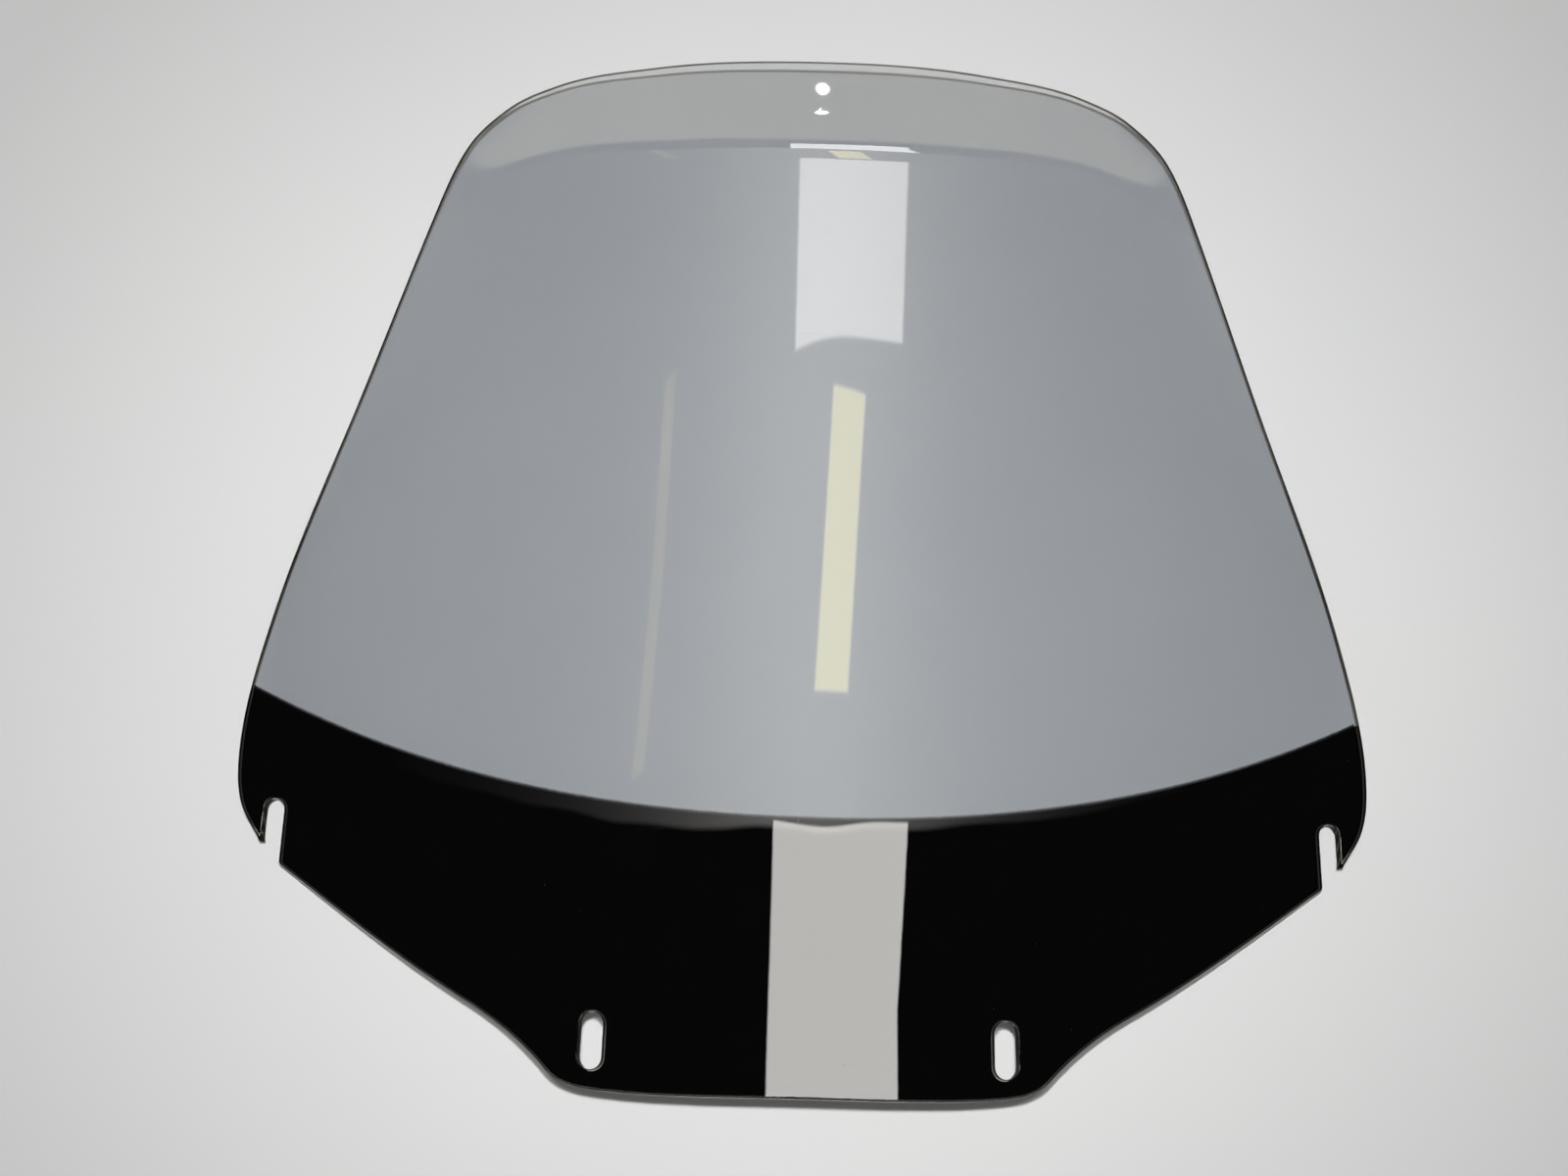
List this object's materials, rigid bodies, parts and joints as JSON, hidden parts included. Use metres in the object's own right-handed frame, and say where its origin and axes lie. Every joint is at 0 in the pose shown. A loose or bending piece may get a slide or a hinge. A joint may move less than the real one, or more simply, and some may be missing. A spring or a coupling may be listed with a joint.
{
  "type": "motorcycle windshield screen",
  "caption": "Smoke-tinted formed acrylic motorcycle windshield with a flared top lip, a black lower band, two screw slots at its base and an open slot in each side ear.",
  "frame": {"origin": "middle of the bounding box, at the level of the surface that the screen lies on", "axes": "+X to the right as seen from in front of the screen, +Y up the screen towards its flared top lip, +Z out of the convex front face. The screen lies on its two side edges, front face up."},
  "size_m": [0.643, 0.5502, 0.1184],
  "materials": {
    "smoke_acrylic": "polished clear smoke-grey acrylic sheet, polished edges",
    "black_paint": "opaque black paint on the rider's side, glossy when seen through the sheet"
  },
  "bodies": {
    "root": {"screen_sheet": "smoke_acrylic", "blackout_coat": "black_paint"}
  },
  "joints": []
}
